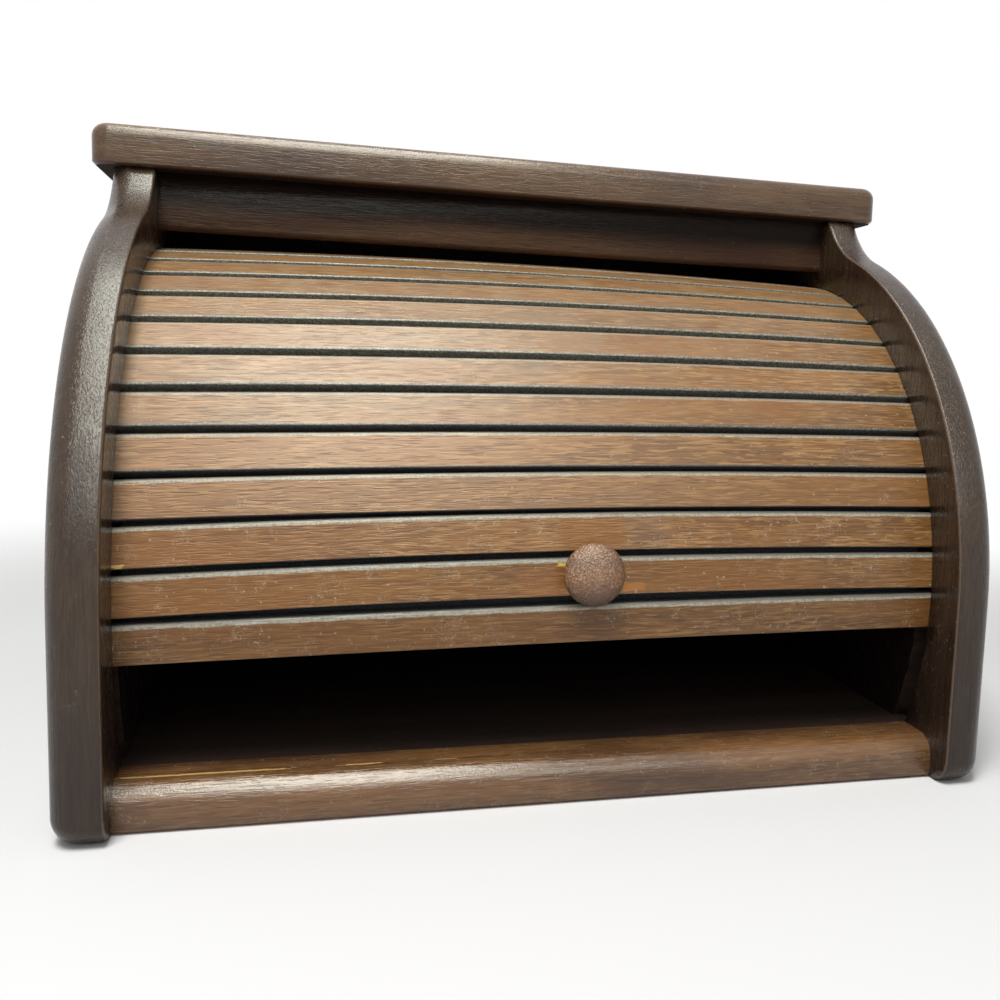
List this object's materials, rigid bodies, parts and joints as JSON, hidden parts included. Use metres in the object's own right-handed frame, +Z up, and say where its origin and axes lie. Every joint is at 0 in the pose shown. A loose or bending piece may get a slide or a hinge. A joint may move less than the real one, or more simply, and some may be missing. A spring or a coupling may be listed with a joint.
{
  "type": "roll-top bread box",
  "caption": "Wooden bread box with round-shouldered sides, an overhanging top and a slatted roll-up door that slides in round grooves.",
  "frame": {"origin": "middle of the base, at the bottom of the side panels", "axes": "+Z up, -Y towards the front with the door, +X to the right as seen from the front"},
  "size_m": [0.43, 0.3364, 0.306],
  "materials": {
    "case_wood": "satin dark lacquer, worn at the edges",
    "inner_wood": "dull dark stain",
    "slat_wood": "satin red-brown lacquer",
    "knob_wood": "glossy brown lacquer",
    "cloth": "coarse dark canvas",
    "screw_steel": "satin"
  },
  "bodies": {
    "case": {"side_panel_left": "case_wood", "side_panel_right": "case_wood", "top_board": "case_wood", "fascia_board": "case_wood", "front_sill": "case_wood", "floor_board": "inner_wood", "back_panel": "inner_wood"},
    "door": {"slat_01": "slat_wood", "slat_02": "slat_wood", "slat_03": "slat_wood", "slat_04": "slat_wood", "slat_05": "slat_wood", "slat_06": "slat_wood", "slat_07": "slat_wood", "slat_08": "slat_wood", "slat_09": "slat_wood", "slat_10": "slat_wood", "slat_11": "slat_wood", "slat_12": "slat_wood", "slat_13": "slat_wood", "slat_14": "slat_wood", "slat_15": "slat_wood", "slat_16": "slat_wood", "slat_17": "slat_wood", "door_cloth": "cloth", "knob": "knob_wood", "knob_screw": "screw_steel"}
  },
  "joints": [
    {"name": "door_slide", "type": "hinge", "parent": "case", "child": "door", "pos_m": [0, 0.01625, 0.0875], "axis": [-1, 0, 0], "range_deg": [-16.9, 39.6]}
  ]
}
